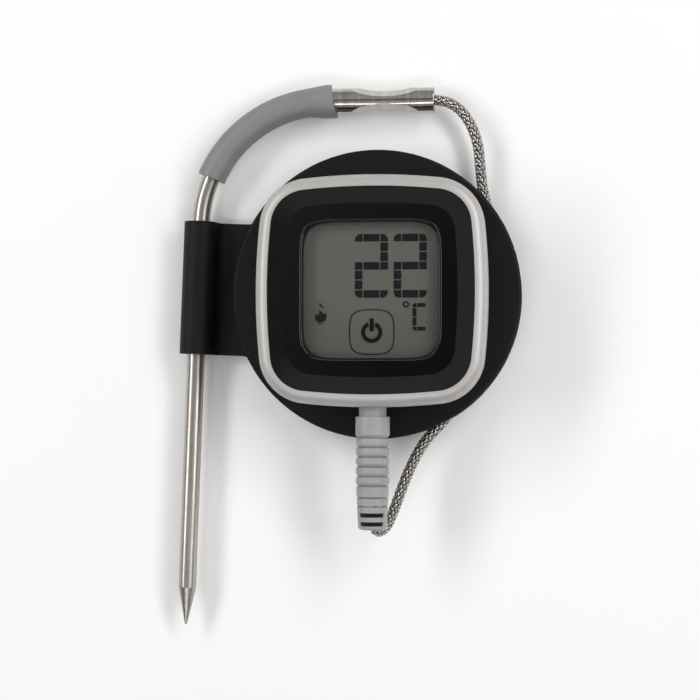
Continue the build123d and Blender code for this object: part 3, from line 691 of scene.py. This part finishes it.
def braided_cable(name, route):
    """A braided cable: flat bundles woven both ways over a dark core."""
    steps, line = route_line(name, route, BUNDLE_STEP)
    core_line = line[::CORE_EVERY]
    points = tube_points(core_line, CORE_R, CORE_SIDES)
    faces = capped_faces(len(core_line), CORE_SIDES)
    blocks, face_materials = [points], [1] * len(faces)
    uvs = [np.zeros((len(points), 2))]
    count = len(points)
    for hand in (1, -1):
        for number in range(CARRIERS):
            ring, ring_uvs = bundle_points(steps, line, hand, number)
            blocks.append(ring)
            uvs.append(ring_uvs)
            own = capped_faces(len(steps), BUNDLE_SIDES, count)
            # Bundles of the other hand are mirrored, so their faces are turned to look outwards.
            faces += own if hand == 1 else [tuple(reversed(face)) for face in own]
            face_materials += [0] * len(own)
            count += len(ring)
    obj = add_mesh(
        name,
        np.concatenate(blocks),
        faces,
        [braid_bundles, cable_core],
        face_materials,
        np.concatenate(uvs),
    )
    return obj, line


# The CAD's route, from the ferrule down behind the wrap's flange.
TOP_ROUTE = [
    (12.95, 44.78, 4.4),
    (15.5, 44.55, 4.4),
    (18.3, 43.0, 4.4),
    (20.5, 40.4, 4.3),
    (22.0, 37.3, 4.2),
    (23.0, 33.8, 4.1),
    (23.4, 28.6, 3.9),
    (24.1, 22.2, 3.8),
    (26.3, 15.9, 3.75),
]
# The CAD's route out of the winding, up to the plug and folded back into its boot
BOTTOM_ROUTE = [
    (19.6, -23.6, 6.25),
    (14.9, -29.0, 6.25),
    (10.9, -33.2, 6.25),
    (8.3, -37.8, 7.0),
    (6.4, -42.3, 7.9),
    (4.8, -47.0, 9.2),
    (2.5, -53.2, 10.8),
    (0.0, -53.3, BOOT_AXIS_Z),
    (0.0, -46.8, BOOT_AXIS_Z),
]


cable_top, top_line = braided_cable("cable_top_braid", TOP_ROUTE)
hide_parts("cable_top")
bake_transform(cable_top)

cable_bottom, bottom_line = braided_cable("cable_bottom_braid", BOTTOM_ROUTE)
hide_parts("cable_bottom")
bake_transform(cable_bottom)

# The winding: three layers of two turns, inwards in the rear row and outwards in the front one.
OUTER_TURN_R = 30.6
LAYER_ORDER = (0, 1, 2, 2, 1, 0)
TURNS = len(LAYER_ORDER)
LAST_REAR_TURN = 2
ROW_Z = (3.75, 6.25)
# The share of each turn after which it steps over to the next layer or row
STEP_FROM = 0.75
POINTS_PER_TURN = 20
WINDING_STEP = 1.0
WINDING_SIDES = 14
START_ANGLE = 31.2
END_ANGLE = -50.3
# A spline of order 3 touches its polygon's sides at their middles, this share of the way out.
INSIDE = math.cos(math.pi / POINTS_PER_TURN)


def winding_route():
    """Control points of the wound length, clockwise as seen from the front."""
    layers = [OUTER_TURN_R - CABLE_D * n for n in LAYER_ORDER]
    total = TURNS + (START_ANGLE - END_ANGLE) / 360
    count = round(total * POINTS_PER_TURN)
    route = []
    for i in range(count + 1):
        turned = total * i / count
        turn = min(int(turned), TURNS - 1)
        into = 0
        if turn < TURNS - 1:
            into = min(max((turned - turn - STEP_FROM) / (1 - STEP_FROM), 0), 1)
        following = layers[min(turn + 1, TURNS - 1)]
        radius = (layers[turn] + (following - layers[turn]) * into) / INSIDE
        z = ROW_Z[0] if turn <= LAST_REAR_TURN else ROW_Z[1]
        if turn == LAST_REAR_TURN:
            z += CABLE_D * into
        angle = math.radians(START_ANGLE - 360 * turned)
        route.append((radius * math.cos(angle), radius * math.sin(angle), z))
    return route


winding_steps, winding_line = route_line("winding", winding_route(), WINDING_STEP)
# Round each ring U falls from 1 to 0 and climbs back, so the weave has no seam.
winding_uvs = [
    (abs(2 * k / WINDING_SIDES - 1), s) for s in winding_steps for k in range(WINDING_SIDES)
]
winding = add_mesh(
    "cable_winding_turns",
    tube_points(winding_line, CABLE_D / 2, WINDING_SIDES),
    capped_faces(len(winding_line), WINDING_SIDES),
    [braid_tube],
    uvs=winding_uvs,
)
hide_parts("cable_winding")
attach(winding, "unit_and_wrap")

# ---- Display marks ------------------------------------------------------------------------

# Each flat piece's rear and front, between the display glass and the window
FILM_Z = (21.53, 21.58)
MARK_Z = (21.605, 21.64)
KEY_Z = (21.605, 21.65)
MASK_Z = (21.66, 21.9)
# The foot of the rim on the window's front
RIM_Z = 23.96


def prism(outlines, low, high):
    """Points and faces of flat plates, from counter-clockwise outlines."""
    points, faces = [], []
    for outline in outlines:
        n, start = len(outline), len(points)
        points += [(x, y, low) for x, y in outline] + [(x, y, high) for x, y in outline]
        faces.append(tuple(start + i for i in reversed(range(n))))
        faces.append(tuple(start + n + i for i in range(n)))
        for i in range(n):
            j = (i + 1) % n
            faces.append((start + i, start + j, start + n + j, start + n + i))
    return points, faces


def band(outer, inner, low, high, closed=True):
    """Points and faces of a flat band between two outlines of the same number of points."""
    n = len(outer)
    points = []
    for (ox, oy), (ix, iy) in zip(outer, inner):
        points += [(ix, iy, low), (ox, oy, low), (ox, oy, high), (ix, iy, high)]
    faces = []
    for i in range(n if closed else n - 1):
        j = (i + 1) % n
        for k in range(4):
            m = (k + 1) % 4
            faces.append((4 * i + k, 4 * j + k, 4 * j + m, 4 * i + m))
    if not closed:
        faces.append(tuple(range(4)))
        faces.append(tuple(4 * (n - 1) + k for k in reversed(range(4))))
    return points, faces


def arc(cx, cy, radius, first, last, count=7):
    """Points on a circle between two angles in degrees."""
    angles = [math.radians(first + (last - first) * i / (count - 1)) for i in range(count)]
    return [(cx + radius * math.cos(a), cy + radius * math.sin(a)) for a in angles]


def plate(x0, y0, x1, y1, top_left=0.0, top_right=0.0, low_right=0.0, low_left=0.0):
    """A rectangle's outline with each corner rounded by its own radius."""
    outline = []
    corners = [
        (x0, y0, 1, 1, low_left, 180),
        (x1, y0, -1, 1, low_right, 270),
        (x1, y1, -1, -1, top_right, 0),
        (x0, y1, 1, -1, top_left, 90),
    ]
    for x, y, sx, sy, radius, first in corners:
        if radius:
            outline += arc(x + sx * radius, y + sy * radius, radius, first, first + 90)
        else:
            outline.append((x, y))
    return outline


def superellipse(cx, cy, half, power, count=96):
    """A square outline with bulged sides and soft corners."""
    outline = []
    for i in range(count):
        a = 2 * math.pi * i / count
        c, s = math.cos(a), math.sin(a)
        reach = (abs(c) ** power + abs(s) ** power) ** (-1 / power)
        outline.append((cx + half * reach * c, cy + half * reach * s))
    return outline


STROKE = 1.62
BLOCK_GAP = 0.27
BLOCK_WIDTH = 3.46
BLOCK_HEIGHT = 1.88
FIGURE_TOP = 12.41
FIGURE_CURVE = 1.2


def figure_two(left):
    """A block-segment 2, its blocks parted by thin gaps: three bars, joined right, then left."""
    middle = left + STROKE + BLOCK_GAP
    right = middle + BLOCK_WIDTH + BLOCK_GAP
    blocks = []
    y = FIGURE_TOP
    for row in range(7):
        is_bar = row in (0, 3, 6)
        low = y - (STROKE if is_bar else BLOCK_HEIGHT)
        top_curve = FIGURE_CURVE if row == 0 else 0.0
        low_curve = FIGURE_CURVE if row == 6 else 0.0
        if is_bar or row > 3:
            blocks.append(
                plate(left, low, left + STROKE, y, top_left=top_curve, low_left=low_curve)
            )
        if is_bar:
            blocks.append(plate(middle, low, middle + BLOCK_WIDTH, y))
        if is_bar or row < 3:
            blocks.append(
                plate(right, low, right + STROKE, y, top_right=top_curve, low_right=low_curve)
            )
        y = low - BLOCK_GAP
    return blocks


def on_unit(name, points, faces, material, slot, smooth=False):
    """A small piece fixed to the display unit."""
    obj = add_mesh(name, points, faces, [material], smooth=smooth)
    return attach(obj, "unit_and_wrap")


FIGURES_LEFT = (-3.56, 5.0)
figures = [block for left in FIGURES_LEFT for block in figure_two(left)]
on_unit("reading_digits", *prism(figures, *MARK_Z), lcd_ink, "black_plastic")

# The unit's C: an upright of four blocks, and a bar at its top and its bottom
UNIT_X = (9.15, 9.98)
UNIT_BAR_X = (10.2, 11.94)
UNIT_CURVE = 0.6
unit_letter = [
    plate(UNIT_X[0], -3.67, UNIT_X[1], -2.83, top_left=UNIT_CURVE),
    plate(UNIT_BAR_X[0], -3.67, UNIT_BAR_X[1], -2.83),
    plate(UNIT_X[0], -5.72, UNIT_X[1], -3.89),
    plate(UNIT_X[0], -7.79, UNIT_X[1], -5.96),
    plate(UNIT_X[0], -8.83, UNIT_X[1], -8.01, low_left=UNIT_CURVE),
    plate(UNIT_BAR_X[0], -8.83, UNIT_BAR_X[1], -8.01),
]
on_unit("reading_unit", *prism(unit_letter, *MARK_Z), lcd_ink, "black_plastic")

DEGREE_AT = (7.66, -3.08)
degree_edges = [arc(*DEGREE_AT, radius, 0, 350, 36) for radius in (0.7, 0.4)]
on_unit(
    "reading_degree",
    *band(*degree_edges, *MARK_Z),
    lcd_ink,
    "black_plastic",
)

# The flame mark: a loose lick, the body and the line under it
flame = [
    [
        (-11.05, -3.1), (-10.7, -3.45), (-10.25, -4.1), (-10.75, -3.75),
        (-11.35, -3.4), (-11.4, -3.0), (-11.3, -2.6),
    ],
    [
        (-11.42, -4.5), (-11.5, -5.1), (-11.75, -5.55), (-11.9, -5.4),
        (-12.05, -4.95), (-12.3, -5.5), (-12.35, -6.1), (-12.1, -6.7),
        (-11.55, -7.05), (-10.9, -7.05), (-10.3, -6.75), (-9.9, -6.2),
        (-9.8, -5.45), (-10.05, -4.75), (-10.35, -5.3), (-10.75, -4.85),
        (-11.25, -4.4), (-11.5, -4.0),
    ],
    [
        (-11.85, -7.45), (-10.45, -7.45), (-10.65, -7.28), (-11.65, -7.28),
    ],
]
on_unit("reading_flame", *prism(flame, *MARK_Z), lcd_ink, "black_plastic")

KEY_X, KEY_Y = 0.16, -9.2
KEY_EDGES = (4.98, 4.79)
KEY_POWER = 3.5
key_outlines = [superellipse(KEY_X, KEY_Y + 0.06, half, KEY_POWER) for half in KEY_EDGES]
on_unit(
    "key_outline",
    *band(*key_outlines, *KEY_Z),
    key_ink,
    "black_plastic",
)
# The power sign: a ring that is open at its top, and a bar in the opening
on_unit(
    "key_power_ring",
    *band(
        arc(KEY_X, KEY_Y, 2.34, 112, 428, 48),
        arc(KEY_X, KEY_Y, 1.43, 116, 424, 48),
        *KEY_Z,
        closed=False,
    ),
    key_ink,
    "black_plastic",
)
on_unit(
    "key_power_bar",
    *prism([plate(KEY_X - 0.46, -8.95, KEY_X + 0.46, -6.12, 0.1, 0.1, 0.1, 0.1)], *KEY_Z),
    key_ink,
    "black_plastic",
)

# The touch key's film, clear of the glass that it lies on
FILM_HALF = 16.5
film_outline = plate(-FILM_HALF, -FILM_HALF, FILM_HALF, FILM_HALF, 1.0, 1.0, 1.0, 1.0)
film = on_unit(
    "touch_film_sheet",
    *prism([film_outline], *FILM_Z),
    clear_film,
    "clear_window",
)
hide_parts("touch_film")

# A printed black mask gives the display its bulged outline, and a rounded rim frames the window.
mask_outlines = [superellipse(0, 0.1, half, power) for half, power in ((15.9, 14), (14.95, 6.5))]
on_unit(
    "window_mask",
    *band(*mask_outlines, *MASK_Z),
    mask_black,
    "black_gloss",
)


def window_rim(half, power, width, height, sides=10, count=160):
    """A half-round rim that runs round the window's outline."""
    line = superellipse(0, 0.05, half, power, count)
    points = []
    for i, (x, y) in enumerate(line):
        (ax, ay), (bx, by) = line[i - 1], line[(i + 1) % count]
        out = Vector((by - ay, ax - bx)).normalized()
        for k in range(sides):
            a = math.pi * k / (sides - 1)
            across = width / 2 * math.cos(a)
            z = RIM_Z + height * math.sin(a)
            points.append((x + out.x * across, y + out.y * across, z))
    return points, grid_faces(count, sides, wrap_rows=True)


on_unit(
    "window_rim",
    *window_rim(15.35, 7.2, width=0.6, height=0.16),
    gloss_black,
    "black_gloss",
    smooth=True,
)

# ---- Floor, light and camera --------------------------------------------------------------

FLOOR_HALF = 3000.0
FLOOR_Z = -0.1
floor_mat = surface(
    "floor_white",
    (srgb(250, 250, 250), srgb(252, 252, 252)),
    (0.8, 0.9),
    tint_scale=0.01,
    grain_scale=0.2,
    bump_um=1.0,
)
floor = add_mesh(
    "floor",
    [(x * FLOOR_HALF, y * FLOOR_HALF, FLOOR_Z) for x, y in ((-1, -1), (1, -1), (1, 1), (-1, 1))],
    [(0, 1, 2, 3)],
    [floor_mat],
    smooth=False,
)

world = bpy.data.worlds.new("studio")
bpy.context.scene.world = world
world.use_nodes = True
sky = world.node_tree
direction = add_node(sky, "ShaderNodeTexCoord").outputs["Generated"]
towards = add_node(sky, "ShaderNodeSeparateXYZ", {0: direction}).outputs
# Brightest at the horizon and dim straight overhead. Each stop is a height and its grey.
heights = ((0.0, 0.62), (0.2, 0.34), (0.9, 0.46), (0.97, 0.46), (0.985, 0.24), (0.995, 0.11))
dimmed = ramp(sky, towards["Z"], [(height, (grey, grey, grey, 1)) for height, grey in heights])
# Dimmer towards the probe's tip, and towards the probe's side
for axis, first, last, least in (("Y", -0.85, -0.5, 0.35), ("X", -0.5, -0.3, 0.45)):
    side = remap(sky, towards[axis], first, last, least)
    dimmed = add_node(
        sky, "ShaderNodeVectorMath", {0: dimmed, "Scale": side}, operation="SCALE"
    ).outputs["Vector"]
sky.links.new(dimmed, sky.nodes["Background"].inputs["Color"])
sky.nodes["Background"].inputs["Strength"].default_value = 1.0


LIGHTS_AIM = Vector((0, 0, 0.01))


def soft_box(name, place, width, depth, watts):
    """A rectangular area light that faces the object, in metres."""
    data = bpy.data.lights.new(name, "AREA")
    data.shape = "RECTANGLE"
    data.size, data.size_y = width, depth
    data.energy = watts
    light = bpy.data.objects.new(name, data)
    light.location = place
    aim = LIGHTS_AIM - Vector(place)
    light.rotation_euler = aim.to_track_quat("-Z", "Y").to_euler()
    bpy.context.scene.collection.objects.link(light)


soft_box("light_left", (-0.57, 0.2, 0.52), width=0.75, depth=0.16, watts=2.9)
soft_box("light_right", (0.48, 0.2, 0.52), width=0.75, depth=0.16, watts=2.7)
soft_box("light_low", (0.0, -0.32, 0.56), width=0.5, depth=0.07, watts=0.6)

# The camera's place and aim are in metres, and its roll is in radians.
CAMERA_AT = Vector((0.0364, -0.0260, 0.410))
LOOKS_AT = Vector((-0.00583, -0.01270, 0.010))
ROLL = 0.00274
LENS = 91.55

camera_data = bpy.data.cameras.new("camera")
camera_data.sensor_width = 36.0
camera_data.lens = LENS
camera_data.clip_start = 0.02
camera_data.clip_end = 20.0
camera = bpy.data.objects.new("camera", camera_data)
bpy.context.scene.collection.objects.link(camera)
bpy.context.scene.camera = camera
forward = (LOOKS_AT - CAMERA_AT).normalized()
right = forward.cross(Vector((0, 1, 0))).normalized()
up = right.cross(forward)
right, up = (
    right * math.cos(ROLL) + up * math.sin(ROLL),
    up * math.cos(ROLL) - right * math.sin(ROLL),
)
camera.matrix_world = Matrix.Translation(CAMERA_AT) @ Matrix(
    (
        (right.x, up.x, -forward.x, 0),
        (right.y, up.y, -forward.y, 0),
        (right.z, up.z, -forward.z, 0),
        (0, 0, 0, 1),
    )
)

bpy.context.scene.view_settings.view_transform = "Standard"
